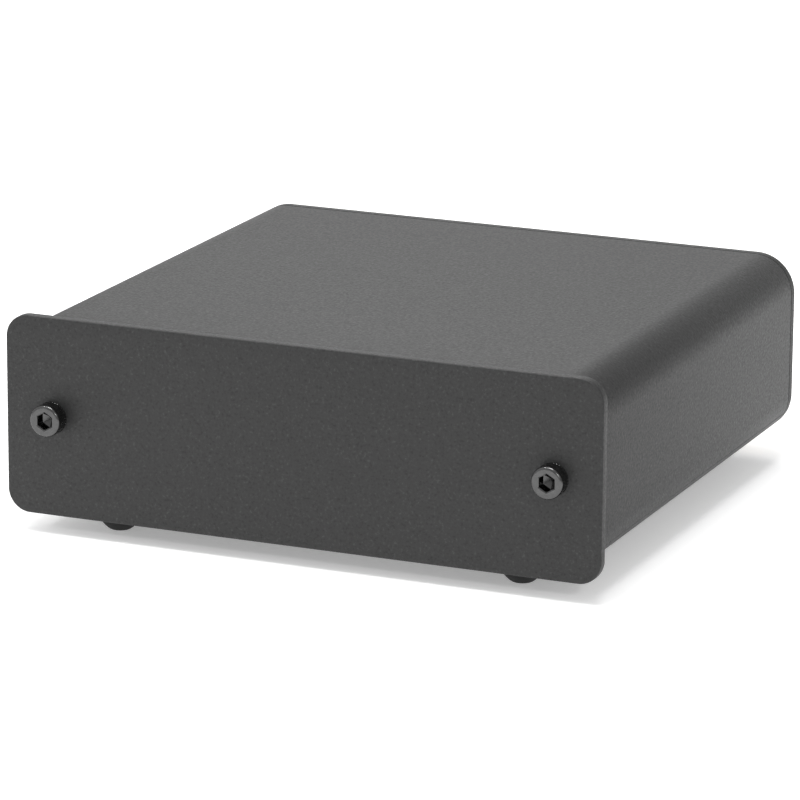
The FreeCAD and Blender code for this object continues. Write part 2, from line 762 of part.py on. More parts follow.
def add_rod(name, diameter, height, across, along, up):
    item = document.addObject("Part::Cylinder", name)
    item.setExpression("Radius", half(diameter))
    item.setExpression("Height", height)
    place(item, across, along, up)
    return item


def finish_group(label, items):
    group = document.addObject("Part::MultiFuse", label)
    group.Label = label
    group.Shapes = items
    finished.append(group)


def row(setback):
    return f"(Places.board_back - Sizes.{setback})"


channel_centres = {
    "left": "(Places.input_across - Sizes.channel_offset)",
    "right": "(Sizes.output_offset + Sizes.pin_pitch)",
}


def make_film_capacitors():
    items = []
    for channel, centre in channel_centres.items():
        for end in (0, 1):
            along = f"{row('film_row')} - {end} * (Sizes.film_length + Sizes.pin_pitch / 2)"
            items.append(add_box(
                f"film_{channel}_{end}", "Sizes.film_width", "Sizes.film_length", "Sizes.film_height",
                centre, along, "Places.board_top",
            ))
    finish_group("film_capacitors", items)


def make_chips():
    items = []
    for channel, centre in channel_centres.items():
        lift = "Places.board_top + Sizes.chip_standoff"
        items.append(add_box(
            f"chip_{channel}", "Sizes.chip_width", "Sizes.chip_length", "Sizes.chip_height",
            centre, row("chip_row"), lift,
        ))
        for side in (-1, 1):
            for step in range(4):
                across = f"{centre} + {side} * (Sizes.chip_width + Sizes.pin_thickness) / 2"
                along = f"{row('chip_row')} + ({step} - 1.5) * Sizes.pin_pitch"
                items.append(add_box(
                    f"chip_{channel}_pin", "Sizes.pin_thickness", "Sizes.pin_width",
                    "Sizes.chip_standoff + Sizes.chip_height / 2", across, along, "Places.board_top",
                ))
    finish_group("amplifier_chips", items)


def add_chip_part(name, width, length, height, across, along):
    # A block soldered flat on the board, with a metal cap over each end
    end = "Sizes.cap_metal"
    items = [add_box(name, f"({width} - 2 * {end})", length, height, across, along, "Places.board_top")]
    for side in (-1, 1):
        middle = f"{across} + {side} * ({width} - {end}) / 2"
        items.append(add_box(
            f"{name}_end", end, f"({length} + Sizes.cap_rim)", f"({height} + Sizes.cap_rim)",
            middle, along, "Places.board_top",
        ))
    return items


def make_resistors():
    items = []
    for channel, centre in channel_centres.items():
        for line in range(2):
            for step in range(3):
                across = f"{centre} + ({step} - 1) * Sizes.resistor_spacing"
                along = f"{row('resistor_row')} + ({line} - 0.5) * Sizes.resistor_pitch"
                items += add_chip_part(
                    f"resistor_{channel}_{line}_{step}", "Sizes.resistor_length", "Sizes.resistor_width",
                    "Sizes.resistor_height", across, along,
                )
    finish_group("resistors", items)


def make_diodes():
    items = add_chip_part(
        "diode", "Sizes.diode_length", "Sizes.diode_width", "Sizes.diode_height",
        "Places.supply_across", row("diode_row"),
    )
    finish_group("supply_diode", items)


def make_electrolytics():
    items = []
    for channel, centre in channel_centres.items():
        for side in (-1, 1):
            across = f"{centre} + {side} * Sizes.electrolytic_spacing / 2"
            items.append(add_rod(
                f"electrolytic_{channel}", "Sizes.electrolytic_diameter", "Sizes.electrolytic_height",
                across, row("electrolytic_row"), "Places.board_top",
            ))
    finish_group("coupling_capacitors", items)
    reservoirs = []
    for side in (-1, 1):
        along = f"{row('reservoir_row')} + {side} * Sizes.reservoir_spacing / 2"
        reservoirs.append(add_rod(
            "reservoir", "Sizes.reservoir_diameter", "Sizes.reservoir_height",
            "Places.supply_across", along, "Places.board_top",
        ))
    finish_group("reservoir_capacitors", reservoirs)


def make_header():
    bases = []
    caps = []
    for channel, centre in channel_centres.items():
        bases.append(add_box(
            f"header_{channel}", "Sizes.header_pins * Sizes.pin_pitch", "Sizes.pin_pitch",
            "Sizes.header_height", centre, row("header_row"), "Places.board_top",
        ))
        for step in range(int(sizes["header_pins"])):
            across = f"{centre} + ({step} - (Sizes.header_pins - 1) / 2) * Sizes.pin_pitch"
            bases.append(add_box(
                f"header_{channel}_pin", "Sizes.pin_width", "Sizes.pin_width",
                "Sizes.header_height + Sizes.header_pin_rise", across, row("header_row"), "Places.board_top",
            ))
        cap = add_box(
            f"jumper_{channel}", "2 * Sizes.pin_pitch - Sizes.jumper_clearance", "Sizes.pin_pitch",
            "Sizes.jumper_height", f"({centre} + Sizes.pin_pitch)", row("header_row"),
            "Places.board_top + Sizes.header_height + Sizes.jumper_clearance",
        )
        caps.append(cut_pin_holes(f"jumper_{channel}_cut", cap, centre))
    finish_group("gain_header", bases)
    finish_group("gain_jumpers", caps)


def cut_pin_holes(name, cap, centre):
    # The jumper's cap is open below, round the two pins that it bridges
    hole = add_box(
        f"{name}_hole", "Sizes.pin_pitch + 3 * Sizes.pin_width",
        "Sizes.pin_width + 2 * Sizes.jumper_clearance", "Sizes.header_height + Sizes.header_pin_rise",
        f"({centre} + Sizes.pin_pitch)", row("header_row"),
        "Places.board_top + Sizes.jumper_clearance",
    )
    opened = document.addObject("Part::Cut", name)
    opened.Base = cap
    opened.Tool = hole
    return opened


def make_regulators():
    items = []
    for step in (0, 1):
        along = f"{row('regulator_row')} - {step} * Sizes.regulator_spacing"
        across = "Places.inlet_across"
        base = "Places.board_top + Sizes.regulator_lift"
        items.append(add_box(
            f"regulator_{step}", "Sizes.regulator_width", "Sizes.regulator_body_thickness",
            "Sizes.regulator_body_height", across, along, base,
        ))
        tab = f"{along} + (Sizes.regulator_body_thickness + Sizes.regulator_tab_thickness) / 2"
        items.append(add_box(
            f"regulator_{step}_tab", "Sizes.regulator_width", "Sizes.regulator_tab_thickness",
            "Sizes.regulator_tab_height", across, tab, base,
        ))
        for pin in range(3):
            items.append(add_box(
                f"regulator_{step}_pin", "Sizes.pin_width", "Sizes.pin_width",
                "Sizes.regulator_lift + Sizes.regulator_body_height / 2",
                f"{across} + ({pin} - 1) * Sizes.pin_pitch", along, "Places.board_top",
            ))
    finish_group("voltage_regulators", items)


# The whole assembly

def make_all():
    make_sleeve()
    make_front_panel()
    make_rear_panel()
    for side, sign in (("left", "-"), ("right", "")):
        make_cap_screw(f"front_screw_{side}", f"{sign}Places.screw_across")
        make_pan_screw(f"rear_screw_{side}", f"{sign}Places.screw_across")
        make_foot(f"foot_front_{side}", f"{sign}Places.foot_across", "Places.foot_front")
        make_foot(f"foot_rear_{side}", f"{sign}Places.foot_across", "Places.foot_rear")
    make_board()
    for name, across in socket_offsets.items():
        make_socket(name, across)
    make_ground_post()
    make_ground_tag()
    make_ground_lock_nut()
    make_ground_washer()
    make_ground_thumb_nut()
    make_inlet_body()
    make_inlet_pin()
    make_inlet_leaf()
    make_film_capacitors()
    make_chips()
    make_resistors()
    make_electrolytics()
    make_header()
    make_regulators()
    make_diodes()


def check_all():
    for item in document.Objects:
        if "Invalid" in item.State or "Error" in item.State:
            raise ValueError(f"{item.Name} failed: {item.State}")
    for piece in finished:
        if piece.Shape.isNull() or not piece.Shape.isValid() or not piece.Shape.Solids:
            raise ValueError(f"{piece.Label} has no valid solid")


def export_all():
    os.makedirs("parts", exist_ok=True)
    for piece in finished:
        piece.Shape.exportStep(f"parts/{piece.Label}.step")


make_all()
document.recompute()
check_all()
export_all()
print(f"{len(finished)} pieces")
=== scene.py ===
import json
import math
import bmesh
import bpy
import numpy as np
from mathutils import Matrix, Vector


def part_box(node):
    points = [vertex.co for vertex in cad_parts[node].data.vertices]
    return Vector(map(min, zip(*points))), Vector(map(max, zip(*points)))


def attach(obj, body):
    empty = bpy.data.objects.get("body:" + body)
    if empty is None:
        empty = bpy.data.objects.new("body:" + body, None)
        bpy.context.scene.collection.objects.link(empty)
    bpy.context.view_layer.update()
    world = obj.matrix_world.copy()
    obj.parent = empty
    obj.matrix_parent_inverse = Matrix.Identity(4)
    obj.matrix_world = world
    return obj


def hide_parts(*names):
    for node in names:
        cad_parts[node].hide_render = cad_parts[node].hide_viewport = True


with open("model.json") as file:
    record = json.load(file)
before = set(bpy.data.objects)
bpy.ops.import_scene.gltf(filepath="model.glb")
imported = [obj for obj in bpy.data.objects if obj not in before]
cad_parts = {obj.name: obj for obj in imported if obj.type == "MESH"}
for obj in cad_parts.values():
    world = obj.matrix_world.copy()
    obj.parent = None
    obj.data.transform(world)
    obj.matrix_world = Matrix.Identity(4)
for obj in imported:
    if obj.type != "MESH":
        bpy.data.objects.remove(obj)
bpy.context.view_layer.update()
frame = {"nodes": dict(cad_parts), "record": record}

mm = 0.001
mergeDistance = 1e-7
nodes = frame["nodes"]
mainBody = "preamp"
print("frame loaded:", len(nodes), "nodes")


# Grids of points made into meshes

def gridFaces(rows, columns, wrapRows):
    # quads between neighbours of a rows x columns grid, numbered row by row, with the columns closed
    i = np.arange(rows if wrapRows else rows - 1)
    j = np.arange(columns)
    a, b = np.meshgrid(i, j, indexing="ij")
    c = (a + 1) % rows
    d = (b + 1) % columns
    return np.stack([a * columns + b, c * columns + b, c * columns + d, a * columns + d], -1).reshape(-1, 4)


def addSurface(name, points, slot, wrapRows=False, sharp=30, body=mainBody, closeEnds=False):
    # points[row, column] is a surface; closeEnds adds one flat face over the first and the last row
    rows, columns = points.shape[:2]
    faces = gridFaces(rows, columns, wrapRows).tolist()
    if closeEnds:
        faces.append(list(range(columns))[::-1])
        faces.append(list(range((rows - 1) * columns, rows * columns)))
    mesh = bpy.data.meshes.new(name)
    mesh.from_pydata(points.reshape(-1, 3).tolist(), [], faces)
    mesh.validate()
    mesh.update()
    return finishMesh(name, mesh, slot, sharp, body)


def finishMesh(name, mesh, slot, sharp, body):
    # doubled points at poles are merged and the faces turned outwards
    work = bmesh.new()
    work.from_mesh(mesh)
    bmesh.ops.remove_doubles(work, verts=work.verts, dist=mergeDistance)
    bmesh.ops.recalc_face_normals(work, faces=work.faces)
    work.to_mesh(mesh)
    work.free()
    mesh.shade_smooth()
    mesh.set_sharp_from_angle(angle=math.radians(sharp))
    piece = bpy.data.objects.new(name, mesh)
    bpy.context.scene.collection.objects.link(piece)
    mesh.materials.append(finish[slot])
    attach(piece, body)
    return piece


def roundedOutline(width, height, corner, inset, steps):
    # four corner arcs of radius corner - inset about the same centres, joined by the straight sides
    angle = np.linspace(0, math.pi / 2, steps + 1)[None, :] + np.arange(4)[:, None] * math.pi / 2
    centreX = (width / 2 - corner) * np.array([1, -1, -1, 1])[:, None]
    centreZ = (height / 2 - corner) * np.array([1, 1, -1, -1])[:, None]
    radius = np.maximum(corner - inset, 0)
    x = centreX + radius * np.cos(angle)
    z = centreZ + radius * np.sin(angle)
    return x.ravel(), z.ravel()


def fullTurn(steps):
    # evenly spaced angles, without the last one, which is the first again
    return np.linspace(0, 2 * math.pi, steps, endpoint=False)


def hexagonRadius(turn, flats):
    # radius = flats / 2 / cos(angle from the middle of the nearest side)
    sixth = math.pi / 3
    return flats / 2 / np.cos((turn + sixth / 2) % sixth - sixth / 2)


def roundPoints(radius, height, turn, centre, direction=1):
    # x = radius cos(turn), z = radius sin(turn), y = height, which runs along Y or, with -1, against it
    x = centre[0] + radius * np.cos(turn)
    y = centre[1] + direction * height + 0 * turn
    z = centre[2] + radius * np.sin(turn)
    return np.stack([x, y, z], -1)


def roundOff(corner, start, end, steps):
    # a bend pulled towards a corner: (1 - t)^2 start + 2 t (1 - t) corner + t^2 end
    t = np.linspace(0, 1, steps + 1)[:, None]
    start, corner, end = (np.asarray(p, float) for p in (start, corner, end))
    return (1 - t) ** 2 * start + 2 * t * (1 - t) * corner + t ** 2 * end


def boxOf(node):
    low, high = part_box(node)
    return np.array(low), np.array(high)


# Materials

def newMaterial(name):
    material = bpy.data.materials.new(name)
    material.use_nodes = True
    tree = material.node_tree
    shader = tree.nodes["Principled BSDF"]
    place = tree.nodes.new("ShaderNodeTexCoord").outputs["Object"]
    return material, tree, shader, place


def addNoise(tree, place, scale, detail=3.0, roughness=0.55):
    noise = tree.nodes.new("ShaderNodeTexNoise")
    noise.inputs["Scale"].default_value = scale
    noise.inputs["Detail"].default_value = detail
    noise.inputs["Roughness"].default_value = roughness
    tree.links.new(place, noise.inputs["Vector"])
    return noise.outputs["Fac"]


def addRamp(tree, value, stops):
    ramp = tree.nodes.new("ShaderNodeValToRGB")
    elements = ramp.color_ramp.elements
    while len(elements) < len(stops):
        elements.new(0.5)
    for element, (position, colour) in zip(elements, stops):
        element.position = position
        element.color = (*colour, 1)
    tree.links.new(value, ramp.inputs["Fac"])
    return ramp.outputs["Color"]


def addRange(tree, value, low, high, fromLow=0.3, fromHigh=0.7):
    mapped = tree.nodes.new("ShaderNodeMapRange")
    limits = {"From Min": fromLow, "From Max": fromHigh, "To Min": low, "To Max": high}
    for socket, number in limits.items():
        mapped.inputs[socket].default_value = number
    tree.links.new(value, mapped.inputs["Value"])
    return mapped.outputs["Result"]


def addBump(tree, value, distance, strength, after=None):
    bump = tree.nodes.new("ShaderNodeBump")
    bump.inputs["Distance"].default_value = distance
    bump.inputs["Strength"].default_value = strength
    tree.links.new(value, bump.inputs["Height"])
    if after is not None:
        tree.links.new(after, bump.inputs["Normal"])
    return bump.outputs["Normal"]


def grey(value):
    return (value, value, value)


coatLook = {
    "pit": grey(0.006), "middle": grey(0.013), "fleck": grey(0.028),
    "pitEnd": 0.3, "middleStart": 0.42, "middleEnd": 0.6, "fleckStart": 0.72,
    "grainScale": 2100, "grainDetail": 2.5, "grainRoughness": 0.6,
    "grainHeight": 0.00012, "grainStrength": 0.6,
    "fineScale": 5200, "fineDetail": 2.0, "fineRoughness": 0.5,
    "fineHeight": 0.00002, "fineStrength": 0.4,
    "smoothest": 0.5, "roughest": 0.62, "dullBelow": 0.34, "smoothAbove": 0.66, "refraction": 1.5,
}


def makePowderCoat(name, look):
    # baked powder paint: a fine orange-peel grain, with dull dark pits and paler, smoother flecks
    material, tree, shader, place = newMaterial(name)
    grain = addNoise(tree, place, look["grainScale"], look["grainDetail"], look["grainRoughness"])
    fine = addNoise(tree, place, look["fineScale"], look["fineDetail"], look["fineRoughness"])
    stops = [
        (look["pitEnd"], look["pit"]), (look["middleStart"], look["middle"]),
        (look["middleEnd"], look["middle"]), (look["fleckStart"], look["fleck"]),
    ]
    sheen = addRange(
        tree, grain, look["roughest"], look["smoothest"], look["dullBelow"], look["smoothAbove"],
    )
    normal = addBump(tree, grain, look["grainHeight"], look["grainStrength"])
    normal = addBump(tree, fine, look["fineHeight"], look["fineStrength"], normal)
    tree.links.new(addRamp(tree, grain, stops), shader.inputs["Base Color"])
    tree.links.new(sheen, shader.inputs["Roughness"])
    tree.links.new(normal, shader.inputs["Normal"])
    shader.inputs["IOR"].default_value = look["refraction"]
    return material


metalGrain = {"detail": 4.0, "strength": 0.3, "metallic": 1.0, "lowStop": 0.35, "highStop": 0.65}
plasticGrain = {"detail": 3.0, "strength": 0.5, "metallic": 0.0, "lowStop": 0.35, "highStop": 0.65}


def makeMottled(name, grain, low, high, scale, smoothest, roughest, height):
    # one fine noise mixes two close colours and two sheens, and lifts the surface a little
    material, tree, shader, place = newMaterial(name)
    mottle = addNoise(tree, place, scale, grain["detail"])
    stops = [(grain["lowStop"], low), (grain["highStop"], high)]
    tree.links.new(addRamp(tree, mottle, stops), shader.inputs["Base Color"])
    tree.links.new(addRange(tree, mottle, smoothest, roughest), shader.inputs["Roughness"])
    tree.links.new(addBump(tree, mottle, height, grain["strength"]), shader.inputs["Normal"])
    shader.inputs["Metallic"].default_value = grain["metallic"]
    return material


# low colour, high colour, noise scale, smoothest, roughest, height of the bumps in metres
oxideLook = (grey(0.09), grey(0.105), 1600, 0.2, 0.28, 0.00001)
goldLook = ((0.78, 0.56, 0.26), (0.9, 0.68, 0.34), 900, 0.24, 0.32, 0.0000015)
nickelLook = (grey(0.5), grey(0.62), 700, 0.2, 0.32, 0.000002)
rubberLook = (grey(0.012), grey(0.02), 1800, 0.6, 0.75, 0.00004)
whiteLook = (grey(0.72), grey(0.78), 900, 0.3, 0.4, 0.00001)
redLook = ((0.42, 0.02, 0.015), (0.5, 0.03, 0.02), 900, 0.3, 0.4, 0.00001)
blackLook = (grey(0.014), grey(0.022), 1400, 0.38, 0.5, 0.00002)
boardLook = ((0.01, 0.08, 0.035), (0.015, 0.12, 0.05), 600, 0.3, 0.42, 0.00001)
partLook = ((0.16, 0.11, 0.05), (0.24, 0.17, 0.08), 500, 0.3, 0.45, 0.00001)

finish = {
    "black_powder_coat": makePowderCoat("powderCoat", coatLook),
    "zinc_steel": makeMottled("oxideSteel", metalGrain, *oxideLook),
    "rubber": makeMottled("footRubber", plasticGrain, *rubberLook),
    "gold_plate": makeMottled("goldPlate", metalGrain, *goldLook),
    "white_plastic": makeMottled("whiteInsulator", plasticGrain, *whiteLook),
    "red_plastic": makeMottled("redInsulator", plasticGrain, *redLook),
    "black_plastic": makeMottled("blackMoulding", plasticGrain, *blackLook),
    "bright_metal": makeMottled("nickelPlate", metalGrain, *nickelLook),
    "board_laminate": makeMottled("greenLaminate", plasticGrain, *boardLook),
    "component_body": makeMottled("lacqueredPart", plasticGrain, *partLook),
}
print("materials made:", len(finish))


smoothing = {"weldDistance": 0.000002, "splitAngle": 32}


def dressNodes(size):
    # every CAD node takes its slot's finish; welding and splitting at sharp edges smooths its round faces
    slots = {entry["node"]: entry["material_slot"] for entry in frame["record"]["subparts"]}
    for name, node in nodes.items():
        node.data.materials.clear()
        node.data.materials.append(finish[slots[name]])
        node.data.polygons.foreach_set("use_smooth", np.ones(len(node.data.polygons), bool))
        weld = node.modifiers.new("weld", "WELD")
        weld.merge_threshold = size["weldDistance"]
        split = node.modifiers.new("split", "EDGE_SPLIT")
        split.split_angle = math.radians(size["splitAngle"])


dressNodes(smoothing)


# Front plate

plateSize = {"corner": 4.0 * mm, "edge": 0.35 * mm, "edgeSteps": 5, "cornerSteps": 20}


def outlineRows(width, height, corner, insets, steps, middleZ, depths):
    # one rounded outline for each inset, at its own depth along Y
    rows = []
    for inset, depth in zip(insets, depths):
        x, z = roundedOutline(width, height, corner, inset, steps)
        rows.append(np.stack([x, np.full_like(x, depth), z + middleZ], -1))
    return np.stack(rows)


def makeFrontPlate(size):
    low, high = boxOf("front_panel")
    width, height = high[0] - low[0], high[2] - low[2]
    middleZ = (high[2] + low[2]) / 2
    bend = np.linspace(0, math.pi / 2, size["edgeSteps"] + 1)
    insets = size["edge"] * (1 - np.sin(bend))
    depths = size["edge"] * (1 - np.cos(bend))
    rows = outlineRows(
        width, height, size["corner"], np.concatenate([insets, insets[::-1]]), size["cornerSteps"], middleZ,
        np.concatenate([low[1] + depths, high[1] - depths[::-1]]),
    )
    plate = addSurface("frontPlate", rows, "black_powder_coat", closeEnds=True)
    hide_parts("front_panel")


makeFrontPlate(plateSize)
print("front plate made")


# Sleeve

sleeveSize = {"corner": 7.0 * mm, "wall": 1.5 * mm, "edge": 0.25 * mm, "edgeSteps": 3, "cornerSteps": 32}


def makeSleeve(size):
    # rounded outlines carried along the outside, round each end's edge and back along the inside
    low, high = boxOf("housing_sleeve")
    width, height = high[0] - low[0], high[2] - low[2]
    middleZ = (high[2] + low[2]) / 2
    bend = np.linspace(0, math.pi / 2, size["edgeSteps"] + 1)
    inward = size["edge"] * (1 - np.sin(bend))
    along = size["edge"] * (1 - np.cos(bend))
    insets = np.concatenate([inward, inward[::-1], size["wall"] - inward, size["wall"] - inward[::-1]])
    depths = np.concatenate([low[1] + along, high[1] - along[::-1], high[1] - along, low[1] + along[::-1]])
    rows = outlineRows(width, height, size["corner"], insets, size["cornerSteps"], middleZ, depths)
    sleeve = addSurface("sleeveShell", rows, "black_powder_coat", wrapRows=True)
    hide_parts("housing_sleeve")


makeSleeve(sleeveSize)

insideSize = {
    "ribDepth": 3.4 * mm, "ribThickness": 1.2 * mm, "guideGap": 0.2 * mm, "setBack": 0.05 * mm,
    "webThickness": 3.0 * mm, "webStart": 2.2 * mm,
    "tubeRadius": 3.0 * mm, "boreRadius": 1.5 * mm, "slot": 1.6 * mm, "arcSteps": 28,
}


def addRail(name, x, z, low, high):
    # an outline (x, z) carried along Y between the sleeve's two ends
    ends = np.array([low, high])[:, None]
    points = np.stack([x + 0 * ends, ends + 0 * x, z + 0 * ends], -1)
    rail = addSurface(name, points, "black_powder_coat", closeEnds=True)
    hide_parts("housing_sleeve")


def makeSleeveInside(size, wall):
    # guide ribs under and over the board, and a slotted tube on a web for each pair of screws
    low, high = boxOf("housing_sleeve")
    boardLow, boardHigh = boxOf("circuit_board")
    front, back = low[1] + size["setBack"], high[1] - size["setBack"]
    reach = high[0] - wall / 2
    ribEnd = high[0] - wall - size["ribDepth"]
    over = boardHigh[2] + size["guideGap"]
    under = boardLow[2] - size["ribThickness"]
    rise = np.array([0, 0, 1, 1])
    outerStart = math.asin(size["slot"] / 2 / size["tubeRadius"])
    innerStart = math.asin(size["slot"] / 2 / size["boreRadius"])
    outer = np.linspace(outerStart, 2 * math.pi - outerStart, size["arcSteps"])
    inner = np.linspace(2 * math.pi - innerStart, innerStart, size["arcSteps"])
    tubeX = np.concatenate([size["tubeRadius"] * np.cos(outer), size["boreRadius"] * np.cos(inner)])
    tubeZ = np.concatenate([size["tubeRadius"] * np.sin(outer), size["boreRadius"] * np.sin(inner)])
    for side, name in ((-1, "Left"), (1, "Right")):
        for place, level in (("under", under), ("over", over)):
            x = side * np.array([ribEnd, reach, reach, ribEnd])
            addRail(f"{place}Rib{name}", x, level + rise * size["ribThickness"], front, back)
        screwLow, screwHigh = boxOf(f"front_screw_{name.lower()}")
        centreX, centreZ = (screwLow[0] + screwHigh[0]) / 2, (screwLow[2] + screwHigh[2]) / 2
        outwards = np.sign(centreX)
        addRail(f"screwTube{name}", centreX - outwards * tubeX, centreZ + tubeZ, front, back)
        webStart, webEnd = centreX + outwards * size["webStart"], outwards * reach
        webX = np.array([webStart, webEnd, webEnd, webStart])
        addRail(f"screwWeb{name}", webX, centreZ + (rise - 0.5) * size["webThickness"], front, back)


makeSleeveInside(insideSize, sleeveSize["wall"])
print("sleeve made")


# Screws with a hexagonal socket in a knurled head

screwSize = {
    "headRadius": 2.75 * mm, "headHeight": 3.0 * mm, "edge": 0.5 * mm, "edgeSteps": 4, "underBreak": 0.1 * mm,
    "knurls": 36, "knurlDepth": 0.06 * mm, "lowerBand": 0.25 * mm, "knurlStart": 0.3 * mm,
    "knurlStop": 0.35 * mm, "upperBand": 0.3 * mm, "key": 2.65 * mm, "keyDepth": 2.2 * mm,
    "keyPoint": 0.75 * mm, "keyFlare": 0.18 * mm, "keyFlareDepth": 0.15 * mm, "shankRadius": 1.45 * mm,
    "shankTip": 0.8, "shankTaper": 0.3 * mm, "steps": 144,
}


def makeCapScrew(node, size):
    # radius(turn, station): round on the head with a shallow knurl, hexagonal inside the socket
    low, high = boxOf(node)
    centre = np.array([(low[0] + high[0]) / 2, low[1] + size["headHeight"], (low[2] + high[2]) / 2])
    turn = fullTurn(size["steps"])
    ring = np.ones_like(turn)
    hexagon = hexagonRadius(turn, size["key"])
    ripple = size["knurlDepth"] * (0.5 - 0.5 * np.cos(size["knurls"] * turn))
    head, top, edge = size["headRadius"], size["headHeight"], size["edge"]
    shank, tip = size["shankRadius"] * ring, low[1] - high[1] + top
    stations = [
        (0 * ring, tip),
        (shank * size["shankTip"], tip),
        (shank, tip + size["shankTaper"]),
        (shank, 0),
        ((head - size["underBreak"]) * ring, 0),
        (head * ring, size["underBreak"]),
        (head * ring, size["lowerBand"]),
        (head - ripple, size["knurlStart"]),
        (head - ripple, top - edge - size["knurlStop"]),
        (head * ring, top - edge - size["upperBand"]),
        (head * ring, top - edge),
    ]
    for bend in np.linspace(0, math.pi / 2, size["edgeSteps"] + 1)[1:]:
        stations.append(((head - edge * (1 - math.cos(bend))) * ring, top - edge * (1 - math.sin(bend))))
    stations += [
        (hexagon + size["keyFlare"], top),
        (hexagon, top - size["keyFlareDepth"]),
        (hexagon, top - size["keyDepth"]),
        (0 * ring, top - size["keyDepth"] - size["keyPoint"]),
    ]
    radius = np.stack([r for r, h in stations])
    height = np.array([h for r, h in stations])[:, None]
    screw = addSurface(f"{node}Piece", roundPoints(radius, height, turn, centre, -1), "zinc_steel", sharp=28)
    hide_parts(node)


for side in ("left", "right"):
    makeCapScrew(f"front_screw_{side}", screwSize)
print("front screws made")


# Phono socket shells: the grounded sleeves round the insulators

shellSize = {
    "radius": 4.15 * mm, "rootRadius": 3.9 * mm, "wall": 0.65 * mm, "lip": 0.16 * mm, "lipSteps": 4,
    "groove": 0.05 * mm, "grooveNear": 1.3 * mm, "grooveFar": 1.6 * mm, "grooveSlope": 0.08 * mm,
    "shoulder": 0.1 * mm, "shoulderDepth": 0.15 * mm, "setBack": 0.02 * mm, "steps": 72,
}


def makeSocketShell(node, size):
    # radius against depth: root step, barrel with a turned line near the mouth, rounded lip, then the bore
    low, high = boxOf(node)
    centre = ((low[0] + high[0]) / 2, high[1], (low[2] + high[2]) / 2)
    outer, root, lip = size["radius"], size["rootRadius"], size["lip"]
    inner = outer - size["wall"]
    length = high[1] - low[1]
    mouth = high[1] - boxOf("rear_panel")[1][1]
    shoulder = mouth - size["setBack"]
    bend = np.linspace(0, math.pi / 2, size["lipSteps"] + 1)
    lipOut = np.stack([outer - lip + lip * np.cos(bend), lip - lip * np.sin(bend)], -1)
    lipIn = np.stack([inner + lip - lip * np.sin(bend), lip - lip * np.cos(bend)], -1)
    sunk = outer - size["groove"]
    line = [
        [outer, size["grooveFar"]], [sunk, size["grooveFar"] - size["grooveSlope"]],
        [sunk, size["grooveNear"] + size["grooveSlope"]], [outer, size["grooveNear"]],
    ]
    back = [
        [root, length], [root, shoulder], [outer - size["shoulder"], shoulder],
        [outer, mouth - size["shoulderDepth"]],
    ]
    bore = [[inner, length - size["setBack"]], [inner, length]]
    profile = np.concatenate([back, line, lipOut, lipIn, bore])
    points = roundPoints(profile[:, :1], profile[:, 1:], fullTurn(size["steps"]), centre, -1)
    shell = addSurface(f"{node}Piece", points, "gold_plate", wrapRows=True)
    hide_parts(node)


for use in ("input", "output"):
    for side in ("left", "right"):
        makeSocketShell(f"{use}_{side}_shell", shellSize)
print("socket shells made")


# Ground terminal: threaded stud and knurled thumb nut

studSize = {
    "radius": 2.0 * mm, "threadDepth": 0.36 * mm, "pitch": 0.7 * mm,
    "flankSteepness": 1.25, "crestFlat": 0.125, "endBreak": 0.5 * mm, "headFlats": 7.0 * mm,
    "headHeight": 2.8 * mm, "headBreak": 0.3 * mm, "plain": 2.2 * mm, "rowsPerPitch": 8, "steps": 48,
}
nutSize = {
    "rim": 4.5 * mm, "edge": 0.25 * mm, "notches": 24, "notchDepth": 0.3 * mm, "stepsPerNotch": 8,
    "collarRadius": 3.5 * mm, "collarHeight": 0.8 * mm, "collarEdge": 0.15 * mm,
    "bore": 2.05 * mm, "boreBreak": 0.3 * mm,
}


def makeGroundStud(size):
    # a right-handed thread: radius = crest - depth * clip(steepness * wave - flat, 0, 1),
    # wave = |2 * fraction(height / pitch + turn / 2 pi) - 1|
    low, high = boxOf("ground_post")
    centre = ((low[0] + high[0]) / 2, low[1], (low[2] + high[2]) / 2)
    turn = fullTurn(size["steps"])
    ring = np.ones_like(turn)
    hexagon = hexagonRadius(turn, size["headFlats"])
    length = high[1] - low[1]
    start = size["headHeight"] + size["plain"]
    rows = int((length - start) / size["pitch"] * size["rowsPerPitch"])
    height = np.linspace(start, length, rows)[:, None]
    wave = np.abs(2 * ((height / size["pitch"] + turn / (2 * math.pi)) % 1) - 1)
    fadeIn = np.clip((height - start) / size["pitch"], 0, 1)
    cut = np.clip(size["flankSteepness"] * wave - size["crestFlat"], 0, 1)
    thread = size["radius"] - size["threadDepth"] * fadeIn * cut
    thread = np.minimum(thread, size["radius"] - size["endBreak"] + (length - height))
    head = [0 * ring, hexagon - size["headBreak"], hexagon, hexagon, size["radius"] * ring]
    headHeights = [0, 0, size["headBreak"], size["headHeight"], size["headHeight"]]
    radius = np.concatenate([head, thread, [0 * ring]])
    stations = np.concatenate([headHeights, height[:, 0], [length]])[:, None]
    stud = addSurface("groundStud", roundPoints(radius, stations, turn, centre), "gold_plate")
    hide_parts("ground_post")


